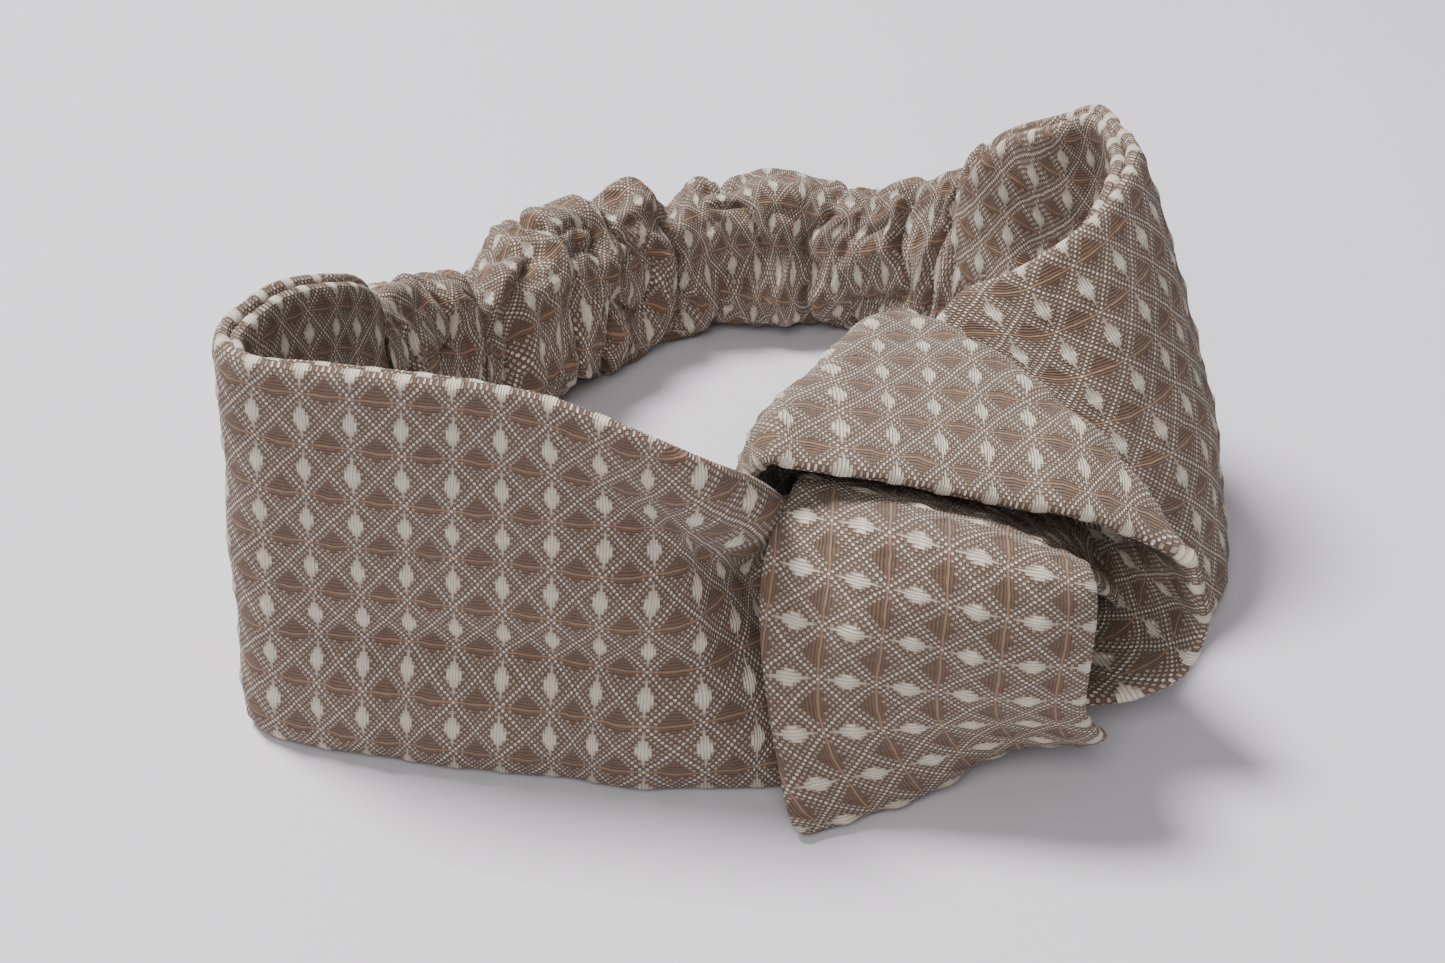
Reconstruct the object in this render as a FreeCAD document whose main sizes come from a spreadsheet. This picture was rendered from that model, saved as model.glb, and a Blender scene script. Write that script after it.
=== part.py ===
# A knotted fabric headband standing on its lower edge: two folded fabric strips that hook
# through each other in a front knot, and a gathered casing at the back that holds the elastic.
# Millimetres. +Z is up from the table, the knot is towards -Y and the elastic towards +Y.
import FreeCAD, Part
import math
import os

from FreeCAD import Base, Placement, Rotation, Vector

OUT = "parts"

# alias: value, mm or degrees
DIMENSIONS = {
    # fabric strips
    "strip_width": 70.0,        # finished width of each turned tube, the height as it stands
    "strip_thickness": 5.6,     # two plies of padded tube, one behind the other
    "ply_thickness": 4.0,       # one tube where it passes through the knot
    # left strip: from the knot along the front, round the left end, back to the casing
    "left_start_x": -14.2,
    "left_start_y": -61.4,
    "left_heading": 167.0,
    "left_front_radius": 310.0,
    "left_front_turn": 12.0,
    "left_end_radius": 11.0,
    "left_end_turn": 94.0,
    "left_back_run": 49.0,
    # right strip: from behind the knot round the right end to the casing, leaning inwards
    "right_start_x": 26.8,
    "right_start_y": -46.4,
    "right_run": 2.0,
    "right_radius": 45.0,
    "right_turn": 105.0,
    "right_back_run": 26.0,
    "right_lean": 16.0,         # how far the top edge stands inside the bottom edge
    # both strips narrow to the casing
    "neck_length": 30.0,
    "neck_height": 31.0,
    "tongue_length": 8.0,
    "tongue_height": 23.0,
    "tongue_bottom": 4.5,
    # knot: bend of the left strip
    "bend_length": 47.0,
    "bend_radius": 15.0,
    "bend_bottom": 8.0,
    "bend_front": 4.0,
    "bend_depth": 9.0,
    "roof_rise": 8.0,           # the roof's left end stands this much above its right end
    "roof_lift": 16.0,          # and its back edge this much above its front edge
    "roof_back_length": 34.0,
    "front_slope_run": 36.0,    # the strip's top edge drops towards the knot
    "front_slope_drop": 12.0,
    "roof_front": 0.0,
    "roof_depth": 29.0,
    # knot: wrap of the right strip
    "wrap_left": 39.5,
    "wrap_width": 52.0,
    "wrap_top": 40.0,
    "wrap_shoulder": 20.0,
    "wrap_foot": 31.0,
    # casing and elastic
    "casing_x": -55.23,
    "casing_y": 20.49,
    "casing_heading": 61.0,
    "casing_left_radius": 96.49,
    "casing_left_turn": 55.0,
    "casing_right_radius": 42.69,
    "casing_right_turn": 81.0,
    "casing_height": 32.0,
    "casing_puff": 15.0,        # thickness of the gathered tube
    "casing_wall": 1.5,
    "elastic_width": 22.0,
    "elastic_thickness": 1.3,
    "elastic_offset": 4.0,
    # sewing
    "thread_radius": 0.25,
    "stitch_length": 2.2,
    "seam_pitch": 5.0,
    "stitch_gap": 0.13,
    "stitch_inset": 5.0,
    "join_pitch": 3.0,
}

doc = FreeCAD.newDocument("headband")
sheet = doc.addObject("Spreadsheet::Sheet", "dims")
for row, (alias, value) in enumerate(DIMENSIONS.items(), start=1):
    sheet.set(f"A{row}", alias)
    sheet.set(f"B{row}", str(value))
    sheet.setAlias(f"B{row}", alias)
doc.recompute()


def size(alias):
    """A driving dimension, read from the sheet."""
    return float(getattr(sheet, alias))


def plane(body, role):
    return next(f for f in body.Origin.OriginFeatures if f.Role == role)


def new_body(label, x, y, heading):
    """A body whose own X axis leaves the point (x, y) at the heading; all three are sheet aliases."""
    body = doc.addObject("PartDesign::Body", label)
    body.Label = label
    angle = size(heading) if heading else 0.0
    body.Placement = Placement(Vector(size(x), size(y), 0), Rotation(Vector(0, 0, 1), angle))
    body.setExpression("Placement.Base.x", f"dims.{x} * 1mm")
    body.setExpression("Placement.Base.y", f"dims.{y} * 1mm")
    if heading:
        body.setExpression("Placement.Rotation.Angle", f"dims.{heading} * 1deg")
    return body


def new_sketch(body, name, role, offset=None):
    sketch = body.newObject("Sketcher::SketchObject", name)
    sketch.AttachmentSupport = [(plane(body, role), "")]
    sketch.MapMode = "FlatFace"
    if offset is not None:
        sketch.AttachmentOffset = offset
    return sketch


def bind(sketch, name, index, expression):
    """Names a constraint of the sketch and binds it to an expression of the sheet."""
    sketch.renameConstraint(index, name)
    sketch.setExpression(f"Constraints.{name}", expression)


def line_loop(sketch, points):
    """A closed outline of straight lines through the points, joined at its corners."""
    import Sketcher
    first = sketch.GeometryCount
    count = len(points)
    for i, (x, y) in enumerate(points):
        x_next, y_next = points[(i + 1) % count]
        sketch.addGeometry(Part.LineSegment(Vector(x, y, 0), Vector(x_next, y_next, 0)), False)
    for i in range(count):
        sketch.addConstraint(
            Sketcher.Constraint("Coincident", first + i, 2, first + (i + 1) % count, 1))


def place_corner(sketch, name, line, x_expression, y_expression):
    """Binds the start point of a line to two expressions, which give its place in the sketch."""
    import Sketcher
    values = []
    for expression in (x_expression, y_expression):
        values.append(float(sheet.evalExpression(expression.replace("dims.", ""))))
    index = sketch.addConstraint(Sketcher.Constraint("DistanceX", -1, 1, line, 1, values[0]))
    bind(sketch, f"{name}_x", index, x_expression)
    index = sketch.addConstraint(Sketcher.Constraint("DistanceY", -1, 1, line, 1, values[1]))
    bind(sketch, f"{name}_y", index, y_expression)


def bound_polygon(sketch, corners):
    """A closed outline whose every corner is bound to a pair of sheet expressions."""
    values = [[float(sheet.evalExpression(e.replace("dims.", ""))) for e in corner]
              for corner in corners]
    line_loop(sketch, values)
    for i, (x_expression, y_expression) in enumerate(corners):
        place_corner(sketch, f"corner{i}", i, x_expression, y_expression)


def route(start_heading, steps):
    """The path of a strip as (kind, start, end, centre, heading after) from runs and turns.

    A step is ("run", length) or ("turn", radius, degrees), positive to the left. It starts at 0, 0.
    """
    at, heading = Vector(0, 0, 0), math.radians(start_heading)
    pieces = []
    for step in steps:
        ahead = Vector(math.cos(heading), math.sin(heading), 0)
        left = Vector(-ahead.y, ahead.x, 0)
        if step[0] == "run":
            end = at + ahead * step[1]
            pieces.append(("run", at, end, None, heading))
        else:
            side = 1 if step[2] > 0 else -1
            centre = at + left * (side * step[1])
            spin = Rotation(Vector(0, 0, 1), step[2])
            end = centre + spin.multVec(at - centre)
            heading += math.radians(step[2])
            pieces.append(("turn", at, end, centre, heading))
        at = end
    return pieces


def along(pieces, distance):
    """The point and heading at a distance along a route."""
    for kind, start, end, centre, heading in pieces:
        if kind == "run":
            length = (end - start).Length
            if distance <= length:
                ahead = Vector(math.cos(heading), math.sin(heading), 0)
                return start + ahead * distance, heading
        else:
            radius = (start - centre).Length
            chord = min(1.0, (end - start).Length / 2 / radius)
            length = 2 * radius * math.asin(chord)
            first, after = start - centre, end - centre
            side = 1 if first.cross(after).z > 0 else -1
            if distance <= length:
                turned = side * distance / radius
                spin = Rotation(Vector(0, 0, 1), math.degrees(turned))
                spoke = spin.multVec(first)
                return centre + spoke, math.atan2(spoke.y, spoke.x) + side * math.pi / 2
        distance -= length
    return pieces[-1][2], pieces[-1][4]


def route_length(pieces):
    total = 0.0
    for kind, start, end, centre, _ in pieces:
        chord = (end - start).Length
        if kind == "run":
            total += chord
        else:
            radius = (start - centre).Length
            total += 2 * radius * math.asin(min(1.0, chord / 2 / radius))
    return total


def path_sketch(body, name, pieces, bindings):
    """A sketch of tangent lines and arcs along a route; bindings give each piece's size."""
    import Sketcher
    sketch = new_sketch(body, name, "XY_Plane")
    for kind, start, end, centre, _ in pieces:
        if kind == "run":
            sketch.addGeometry(Part.LineSegment(start, end), False)
            continue
        first = math.atan2(start.y - centre.y, start.x - centre.x)
        last = math.atan2(end.y - centre.y, end.x - centre.x)
        if (start - centre).cross(end - centre).z < 0:
            first, last = last, first
        circle = Part.Circle(centre, Vector(0, 0, 1), (start - centre).Length)
        sketch.addGeometry(Part.ArcOfCircle(circle, first, last), False)

    def ends(i):
        """The vertex numbers of piece i's start and end: an arc always runs anticlockwise."""
        kind, start, end, centre, _ = pieces[i]
        if kind == "turn" and (start - centre).cross(end - centre).z < 0:
            return 2, 1
        return 1, 2

    sketch.addConstraint(Sketcher.Constraint("Coincident", 0, ends(0)[0], -1, 1))
    for i in range(len(pieces) - 1):
        sketch.addConstraint(Sketcher.Constraint("Tangent", i, ends(i)[1], i + 1, ends(i + 1)[0]))
    for i, alias in enumerate(bindings):
        if pieces[i][0] == "run":
            length = (pieces[i][2] - pieces[i][1]).Length
            index = sketch.addConstraint(Sketcher.Constraint("Distance", i, length))
        else:
            radius = (pieces[i][1] - pieces[i][3]).Length
            index = sketch.addConstraint(Sketcher.Constraint("Radius", i, radius))
        bind(sketch, f"size{i}", index, f"dims.{alias}")
    return sketch


def add_pipe(body, kind, profile, path):
    pipe = body.newObject(kind, f"{body.Name}_{profile.Name}_pipe")
    pipe.Profile = profile
    edges = [f"Edge{i + 1}" for i in range(path.GeometryCount)]
    pipe.Spine = (path, edges)
    pipe.Mode = "Standard"
    pipe.Transition = "Transformed"
    doc.recompute()
    return pipe


def add_pad(body, sketch, alias, expression=None):
    pad = body.newObject("PartDesign::Pad", f"{sketch.Name}_pad")
    pad.Profile = sketch
    pad.Length = size(alias)
    pad.setExpression("Length", expression or f"dims.{alias}")
    doc.recompute()
    return pad


def add_cut(body, sketch, length):
    """A pocket along the sketch's normal that has to remove something."""
    before = body.Shape.Volume
    cut = body.newObject("PartDesign::Pocket", f"{sketch.Name}_cut")
    cut.Profile = sketch
    cut.Reversed = True
    cut.Length = length
    doc.recompute()
    assert body.Shape.Volume < before - 1.0, f"{sketch.Name} cuts nothing"
    return cut


def upright_profile(body, name, lean):
    """The section of a standing strip in the YZ plane; lean moves its top edge to the left."""
    sketch = new_sketch(body, name, "YZ_Plane")
    half, shift = "dims.strip_thickness / 2", f"{lean} / 2"
    bound_polygon(sketch, [
        (f"-{half} - {shift}", "0"),
        (f"{half} - {shift}", "0"),
        (f"{half} + {shift}", "dims.strip_width"),
        (f"-{half} + {shift}", "dims.strip_width"),
    ])
    return sketch


def neck_cut(body, name, far_y, side):
    """Slopes the strip's end down to the height of the casing. side is the way the end points in Y."""
    top = size("strip_width") + 1
    sketch = new_sketch(body, name, "YZ_Plane")
    line_loop(sketch, [
        (far_y - side * size("neck_length"), top),
        (far_y, size("neck_height")),
        (far_y + side * 30, size("neck_height")),
        (far_y + side * 30, top),
    ])
    doc.recompute()
    return add_cut(body, sketch, 200.0)


def tongue(body, name, pieces):
    """The strip's end, gathered small enough to go into the mouth of the casing."""
    end, heading = pieces[-1][2], math.degrees(pieces[-1][4])
    place = Placement(Vector(end.x, end.y, size("tongue_bottom")),
                      Rotation(Vector(0, 0, 1), heading))
    sketch = new_sketch(body, name, "XY_Plane", place)
    half = "dims.ply_thickness / 2"
    bound_polygon(sketch, [
        ("-8", f"-{half}"),
        ("dims.tongue_length", f"-{half}"),
        ("dims.tongue_length", half),
        ("-8", half),
    ])
    doc.recompute()
    add_pad(body, sketch, "tongue_height")


def left_strip():
    body = new_body("left_strip", "left_start_x", "left_start_y", "left_heading")
    pieces = route(0, [
        ("turn", size("left_front_radius"), -size("left_front_turn")),
        ("turn", size("left_end_radius"), -size("left_end_turn")),
        ("run", size("left_back_run")),
    ])
    path = path_sketch(body, "left_path", pieces,
                       ["left_front_radius", "left_end_radius", "left_back_run"])
    profile = upright_profile(body, "left_section", "0")
    doc.recompute()
    add_pipe(body, "PartDesign::AdditivePipe", profile, path)
    end = pieces[-1][2]
    neck_cut(body, "left_neck", end.y, -1)
    tongue(body, "left_tongue", pieces)
    slope = new_sketch(body, "front_slope", "XZ_Plane", Placement(Vector(0, 0, -20), Rotation()))
    width, drop = size("strip_width"), size("front_slope_drop")
    line_loop(slope, [(-1, width - drop), (0, width - drop), (size("front_slope_run"), width),
                      (size("front_slope_run"), width + 2), (-1, width + 2)])
    doc.recompute()
    add_cut(body, slope, 40.0)

    # The bend: a plate low in the knot, a half turn at its right end, and the roof above.
    bend = new_sketch(body, "bend_outline", "XZ_Plane",
                      Placement(Vector(0, 0, size("bend_front")), Rotation()))
    thick, radius = size("ply_thickness"), size("bend_radius")
    length, bottom = size("bend_length"), size("bend_bottom")
    middle = bottom + thick + radius
    inner = Part.Circle(Vector(-length, middle, 0), Vector(0, 0, 1), radius)
    outer = Part.Circle(Vector(-length, middle, 0), Vector(0, 0, 1), radius + thick)
    quarter = math.pi / 2
    top = middle + radius
    bend.addGeometry([
        Part.LineSegment(Vector(6, bottom, 0), Vector(-length, bottom, 0)),
        Part.ArcOfCircle(outer, quarter, 3 * quarter),
        Part.LineSegment(Vector(-length, top + thick, 0), Vector(-length + 2, top + thick, 0)),
        Part.LineSegment(Vector(-length + 2, top + thick, 0), Vector(-length + 2, top, 0)),
        Part.LineSegment(Vector(-length + 2, top, 0), Vector(-length, top, 0)),
        Part.ArcOfCircle(inner, quarter, 3 * quarter),
        Part.LineSegment(Vector(-length, bottom + thick, 0), Vector(6, bottom + thick, 0)),
        Part.LineSegment(Vector(6, bottom + thick, 0), Vector(6, bottom, 0)),
    ], False)
    doc.recompute()
    add_pad(body, bend, "bend_depth")

    root = new_sketch(body, "bend_root", "XY_Plane",
                      Placement(Vector(0, 0, bottom), Rotation()))
    line_loop(root, [(0, 0), (6, 0), (6, -size("bend_front") - 5), (0, -size("bend_front") - 5)])
    doc.recompute()
    add_pad(body, root, "ply_thickness")

    rise, lift = size("roof_rise"), size("roof_lift")
    front = new_sketch(body, "roof_front_outline", "XZ_Plane",
                       Placement(Vector(0, 0, size("roof_front")), Rotation()))
    line_loop(front, [(6, top + rise), (-length, top), (-length, top + thick),
                      (6, top + rise + thick)])
    back = new_sketch(body, "roof_back_outline", "XZ_Plane",
                      Placement(Vector(0, 0, size("roof_front") + size("roof_depth")), Rotation()))
    reach = size("roof_back_length")
    line_loop(back, [(2, top + lift), (-reach, top + lift), (-reach, top + lift + thick),
                     (2, top + lift + thick)])
    doc.recompute()
    roof = body.newObject("PartDesign::AdditiveLoft", "roof")
    roof.Profile = front
    roof.Sections = [back]
    roof.Ruled = True
    doc.recompute()
    return body, pieces


def right_strip():
    body = new_body("right_strip", "right_start_x", "right_start_y", None)
    pieces = route(0, [
        ("run", size("right_run")),
        ("turn", size("right_radius"), size("right_turn")),
        ("run", size("right_back_run")),
    ])
    path = path_sketch(body, "right_path", pieces,
                       ["right_run", "right_radius", "right_back_run"])
    profile = upright_profile(body, "right_section", "dims.right_lean")
    doc.recompute()
    add_pipe(body, "PartDesign::AdditivePipe", profile, path)
    end = pieces[-1][2]
    neck_cut(body, "right_neck", end.y + 2, 1)

    # The wrap: over the left strip's low plate, down its front and back beneath it.
    wrap = new_sketch(body, "wrap_outline", "YZ_Plane",
                      Placement(Vector(0, 0, -size("wrap_left")), Rotation()))
    thick, top = size("ply_thickness"), size("wrap_top")
    shoulder, foot = -size("wrap_shoulder"), -size("wrap_foot")
    line_loop(wrap, [
        (0, top), (shoulder, top), (foot, thick), (foot + 1, 0), (-12, 0), (-12, thick),
        (foot + thick + 1, thick), (shoulder + 2, top - thick), (0, top - thick),
    ])
    doc.recompute()
    add_pad(body, wrap, "wrap_width")
    return body, pieces


def casing_route():
    return route(0, [
        ("turn", size("casing_left_radius"), -size("casing_left_turn")),
        ("turn", size("casing_right_radius"), -size("casing_right_turn")),
    ])


def slot_profile(body, name, width, height, z_middle):
    """An upright slot with round ends, in the YZ plane."""
    import Sketcher
    sketch = new_sketch(body, name, "YZ_Plane")
    half, straight = width / 2, height / 2 - width / 2
    top, low = Vector(0, z_middle + straight, 0), Vector(0, z_middle - straight, 0)
    up = Vector(0, 0, 1)
    sketch.addGeometry([
        Part.ArcOfCircle(Part.Circle(top, up, half), 0, math.pi),
        Part.LineSegment(Vector(-half, top.y, 0), Vector(-half, low.y, 0)),
        Part.ArcOfCircle(Part.Circle(low, up, half), math.pi, 2 * math.pi),
        Part.LineSegment(Vector(half, low.y, 0), Vector(half, top.y, 0)),
    ], False)
    for i in range(4):
        sketch.addConstraint(Sketcher.Constraint("Tangent", i, 2, (i + 1) % 4, 1))
    sketch.addConstraint(Sketcher.Constraint("PointOnObject", 0, 3, -2))
    sketch.addConstraint(Sketcher.Constraint("Vertical", 1))
    return sketch


def size_slot(sketch, radius_expression, centre_expression, span_expression):
    """Binds a slot's end radius, the place of its lower centre and the span between its centres."""
    import Sketcher
    low, top = sketch.Geometry[2], sketch.Geometry[0]
    index = sketch.addConstraint(Sketcher.Constraint("Radius", 0, top.Radius))
    bind(sketch, "end_radius", index, radius_expression)
    index = sketch.addConstraint(Sketcher.Constraint("DistanceY", -1, 1, 2, 3, low.Center.y))
    bind(sketch, "low_centre", index, centre_expression)
    span = top.Center.y - low.Center.y
    index = sketch.addConstraint(Sketcher.Constraint("DistanceY", 2, 3, 0, 3, span))
    bind(sketch, "span", index, span_expression)


def elastic_casing(pieces):
    body = new_body("elastic_casing", "casing_x", "casing_y", "casing_heading")
    height, puff, wall = size("casing_height"), size("casing_puff"), size("casing_wall")
    path = path_sketch(body, "casing_path", pieces, ["casing_left_radius", "casing_right_radius"])
    outside = slot_profile(body, "casing_outside", puff, height, height / 2)
    size_slot(outside, "dims.casing_puff / 2", "dims.casing_puff / 2",
              "dims.casing_height - dims.casing_puff")
    inside = slot_profile(body, "casing_inside", puff - 2 * wall, height - 2 * wall, height / 2)
    size_slot(inside, "dims.casing_puff / 2 - dims.casing_wall", "dims.casing_puff / 2",
              "dims.casing_height - dims.casing_puff")
    doc.recompute()
    add_pipe(body, "PartDesign::AdditivePipe", outside, path)
    solid = body.Shape.Volume
    add_pipe(body, "PartDesign::SubtractivePipe", inside, path)
    assert body.Shape.Volume < solid / 2, "the casing isn't hollow"
    return body


def elastic_band(pieces):
    body = new_body("elastic_band", "casing_x", "casing_y", "casing_heading")
    path = path_sketch(body, "elastic_path", pieces,
                       ["casing_left_radius", "casing_right_radius"])
    section = new_sketch(body, "elastic_section", "YZ_Plane")
    inner = "dims.elastic_offset - dims.elastic_thickness / 2"
    outer = "dims.elastic_offset + dims.elastic_thickness / 2"
    low = "dims.casing_height / 2 - dims.elastic_width / 2"
    high = "dims.casing_height / 2 + dims.elastic_width / 2"
    bound_polygon(section, [(inner, low), (outer, low), (outer, high), (inner, high)])
    doc.recompute()
    add_pipe(body, "PartDesign::AdditivePipe", section, path)
    return body


def stitch(name, point, direction):
    """One stitch of thread that starts at the point and lies along the direction."""
    bar = doc.addObject("Part::Cylinder", name)
    bar.setExpression("Radius", "dims.thread_radius * 1mm")
    bar.setExpression("Height", "dims.stitch_length * 1mm")
    bar.Placement = Placement(point, Rotation(Vector(0, 0, 1), direction))
    return bar


def stitches(label, bars):
    """All the stitches of one seam as one node, a group of separate solids."""
    group = doc.addObject("Part::Compound", label)
    group.Label = label
    group.Links = bars
    return group


def seam(label, place, pieces, first, last, offset, z):
    """A line of stitches along a route, offset to its left, at one height."""
    bars = []
    half = size("stitch_length") / 2
    count = int((last - first) / size("seam_pitch"))
    for i in range(count + 1):
        point, heading = along(pieces, first + i * size("seam_pitch"))
        ahead = Vector(math.cos(heading), math.sin(heading), 0)
        left = Vector(-ahead.y, ahead.x, 0)
        start = point + left * offset - ahead * half + Vector(0, 0, z)
        direction = place.Rotation.multVec(ahead)
        bars.append(stitch(f"{label}_{i}", place.multVec(start), direction))
    return stitches(label, bars)


def columns(label, place, pieces, distances, offsets, low, high):
    """Upright columns of stitches across a strip at the distances along a route."""
    bars = []
    count = int((high - low) / size("join_pitch"))
    for distance in distances:
        point, heading = along(pieces, distance)
        left = Vector(-math.sin(heading), math.cos(heading), 0)
        for offset in offsets:
            for i in range(count):
                start = point + left * offset + Vector(0, 0, low + i * size("join_pitch"))
                bars.append(stitch(f"{label}_{len(bars)}", place.multVec(start), Vector(0, 0, 1)))
    return stitches(label, bars)


def sewing(left, left_pieces, right, right_pieces, casing, casing_pieces):
    """The visible thread: seams along the tubes, and the rows that close the two joins."""
    lift = size("thread_radius") + size("stitch_gap")
    side = size("casing_puff") / 2 + lift
    elastic = size("elastic_offset") + size("elastic_thickness") / 2 + lift
    whole = route_length(casing_pieces)
    inset = size("stitch_inset")
    strip_face = size("strip_thickness") / 2 + lift
    middle = size("strip_width") / 2
    low, high = size("casing_puff") / 2, size("casing_height") - size("casing_puff") / 2
    tack_low = size("casing_height") / 2 - size("elastic_width") / 2 + 2
    tack_high = size("casing_height") / 2 + size("elastic_width") / 2 - 2
    front = route_length(left_pieces[:1])
    return [
        seam("left_strip_seam", left.Placement, left_pieces, 12, front - 14, -strip_face, middle),
        seam("right_strip_seam", right.Placement, right_pieces, 12,
             route_length(right_pieces) - 45, strip_face, middle),
        seam("casing_seam", casing.Placement, casing_pieces, 15, whole - 15, -side, low + 1),
        columns("left_join_stitching", casing.Placement, casing_pieces, [inset],
                [side, -side], low, high),
        columns("right_join_stitching", casing.Placement, casing_pieces, [whole - inset],
                [side, -side], low, high),
        columns("left_elastic_tack", casing.Placement, casing_pieces, [inset - 2, inset + 1],
                [elastic], tack_low, tack_high),
        columns("right_elastic_tack", casing.Placement, casing_pieces,
                [whole - inset + 2, whole - inset - 1], [elastic], tack_low, tack_high),
    ]


def write(parts):
    doc.recompute()
    failed = [o.Label for o in doc.Objects if {"Invalid", "Error"} & set(o.State)]
    assert not failed, f"these objects failed: {failed}"
    os.makedirs(OUT, exist_ok=True)
    for part in parts:
        assert not part.Shape.isNull() and part.Shape.isValid(), f"{part.Label} isn't a valid shape"
        box = part.Shape.BoundBox
        print(f"{part.Label}: {len(part.Shape.Solids)} solids, {part.Shape.Volume:.0f} mm3, "
              f"x {box.XMin:.1f} {box.XMax:.1f} y {box.YMin:.1f} {box.YMax:.1f} "
              f"z {box.ZMin:.1f} {box.ZMax:.1f}")
        part.Shape.exportStep(os.path.join(OUT, f"{part.Label}.step"))


def main():
    left, left_pieces = left_strip()
    right, right_pieces = right_strip()
    tongue(right, "right_tongue", right_pieces)
    casing_pieces = casing_route()
    casing = elastic_casing(casing_pieces)
    elastic = elastic_band(casing_pieces)
    threads = sewing(left, left_pieces, right, right_pieces, casing, casing_pieces)
    write([left, right, casing, elastic] + threads)


main()
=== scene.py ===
"""Blender scene of the twist headband: two turned fabric strips hooked through each other in a front knot, a
gathered casing with elastic at the back, and their sewing. Points are in millimetres in the row frame, scaled by MM.
"""
import math

import bmesh
import bpy
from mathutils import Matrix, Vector, noise


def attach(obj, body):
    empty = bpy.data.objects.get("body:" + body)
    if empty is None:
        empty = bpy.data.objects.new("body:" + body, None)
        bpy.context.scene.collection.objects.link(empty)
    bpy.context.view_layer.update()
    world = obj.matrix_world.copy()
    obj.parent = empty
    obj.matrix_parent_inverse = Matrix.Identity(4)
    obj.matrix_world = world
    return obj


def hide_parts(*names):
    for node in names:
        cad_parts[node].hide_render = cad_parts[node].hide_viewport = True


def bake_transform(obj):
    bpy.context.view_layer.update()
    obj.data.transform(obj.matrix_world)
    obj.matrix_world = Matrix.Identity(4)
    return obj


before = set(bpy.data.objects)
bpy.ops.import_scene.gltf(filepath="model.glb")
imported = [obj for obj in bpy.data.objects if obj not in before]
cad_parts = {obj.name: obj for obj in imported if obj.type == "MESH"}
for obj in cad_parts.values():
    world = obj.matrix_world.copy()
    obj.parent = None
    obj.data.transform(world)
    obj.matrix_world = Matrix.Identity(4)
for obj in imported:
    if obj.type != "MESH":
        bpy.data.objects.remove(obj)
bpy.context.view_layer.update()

MM = 0.001

REPEAT_ALONG = 7.3      # the weave's repeat along a strip
REPEAT_ACROSS = 8.75    # and across it, eight times over the width
YARNS = 16              # yarns in a repeat, both ways
STRIP_WIDTH = 70.0
LEFT_PLY = 3.0          # thickness of each strip's flattened tube, and of the elastic
RIGHT_PLY = 2.8
ELASTIC_PLY = 1.3
WALL = 1.3              # thickness of the casing's cloth
GATHER = 1.45           # cloth drawn up into one length of casing
REPEATS_ROUND = 10.0    # of the weave, once round the casing
GRID_STEP = 0.85        # of a strip's grid, along the strip
GRID_ACROSS = 72        # points across it
ROWS = 8                # points across a station, before the grid is made
TABLE_GAP = 0.15        # the lowest that cloth may lie


# ---------------------------------------------------------------- splines and grids

def lerp(a, b, t):
    return a + (b - a) * t


def smooth(t):
    t = min(1.0, max(0.0, t))
    return t * t * (3 - 2 * t)


def spline(points, t):
    """A point of the Catmull-Rom curve through the points; t counts points from 0."""
    i = min(len(points) - 2, max(0, int(t)))
    f = t - i
    p1, p2 = points[i], points[i + 1]
    p0 = points[i - 1] if i else p1 * 2 - p2
    p3 = points[i + 2] if i + 2 < len(points) else p2 * 2 - p1
    return 0.5 * ((2 * p1) + (p2 - p0) * f + (2 * p0 - 5 * p1 + 4 * p2 - p3) * f ** 2
                  + (3 * p1 - p0 - 3 * p2 + p3) * f ** 3)


def resample(points, count):
    last = len(points) - 1
    return [spline(points, last * i / (count - 1)) for i in range(count)]


def even(points, step):
    """Spline parameters a step apart along the curve through the points."""
    fine = 12
    marks = [i / fine for i in range((len(points) - 1) * fine + 1)]
    path = [spline(points, m) for m in marks]
    length = [0.0]
    for a, b in zip(path, path[1:]):
        length.append(length[-1] + (b - a).length)
    count = max(4, int(length[-1] / step))
    params, k = [], 0
    for i in range(count + 1):
        want = length[-1] * i / count
        while k < len(length) - 2 and length[k + 1] < want:
            k += 1
        span = max(1e-9, length[k + 1] - length[k])
        params.append(lerp(marks[k], marks[k + 1], min(1.0, (want - length[k]) / span)))
    return params


def edge_spaced(count):
    """Fractions across a strip, closer together near its two edges."""
    return [0.5 - 0.5 * math.cos(math.pi * (0.04 + 0.92 * i / (count - 1))) / math.cos(math.pi * 0.04)
            for i in range(count)]


def surface(stations, step=GRID_STEP, across=GRID_ACROSS):
    """A grid of points through stations, each a list of points from one edge of the cloth to the other."""
    nets = [resample([Vector(p) for p in s], ROWS) for s in stations]
    middle = [n[ROWS // 2] for n in nets]
    params = even(middle, step)
    fractions = edge_spaced(across)
    grid = []
    for t in params:
        section = [spline([n[r] for n in nets], t) for r in range(ROWS)]
        grid.append([spline(section, f * (ROWS - 1)) for f in fractions])
    return grid


def normals(grid):
    rows, cols = len(grid), len(grid[0])
    out = []
    for i in range(rows):
        line = []
        for j in range(cols):
            along = grid[min(rows - 1, i + 1)][j] - grid[max(0, i - 1)][j]
            across = grid[i][min(cols - 1, j + 1)] - grid[i][max(0, j - 1)]
            n = along.cross(across)
            line.append(n.normalized() if n.length > 1e-9 else Vector((0, 0, 1)))
        out.append(line)
    return out


def rumple(grid, amount, scale, seed):
    """Soft uneven waves, so no cloth face is ruled."""
    face = normals(grid)
    shift = Vector((seed * 13.7, seed * 7.1, seed * 3.3))
    return [[p + n * (noise.noise(p / scale + shift) * amount
                      + noise.noise(p / (scale * 0.4) + shift) * amount * 0.35)
             for p, n in zip(line, face_line)] for line, face_line in zip(grid, face)]


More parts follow.
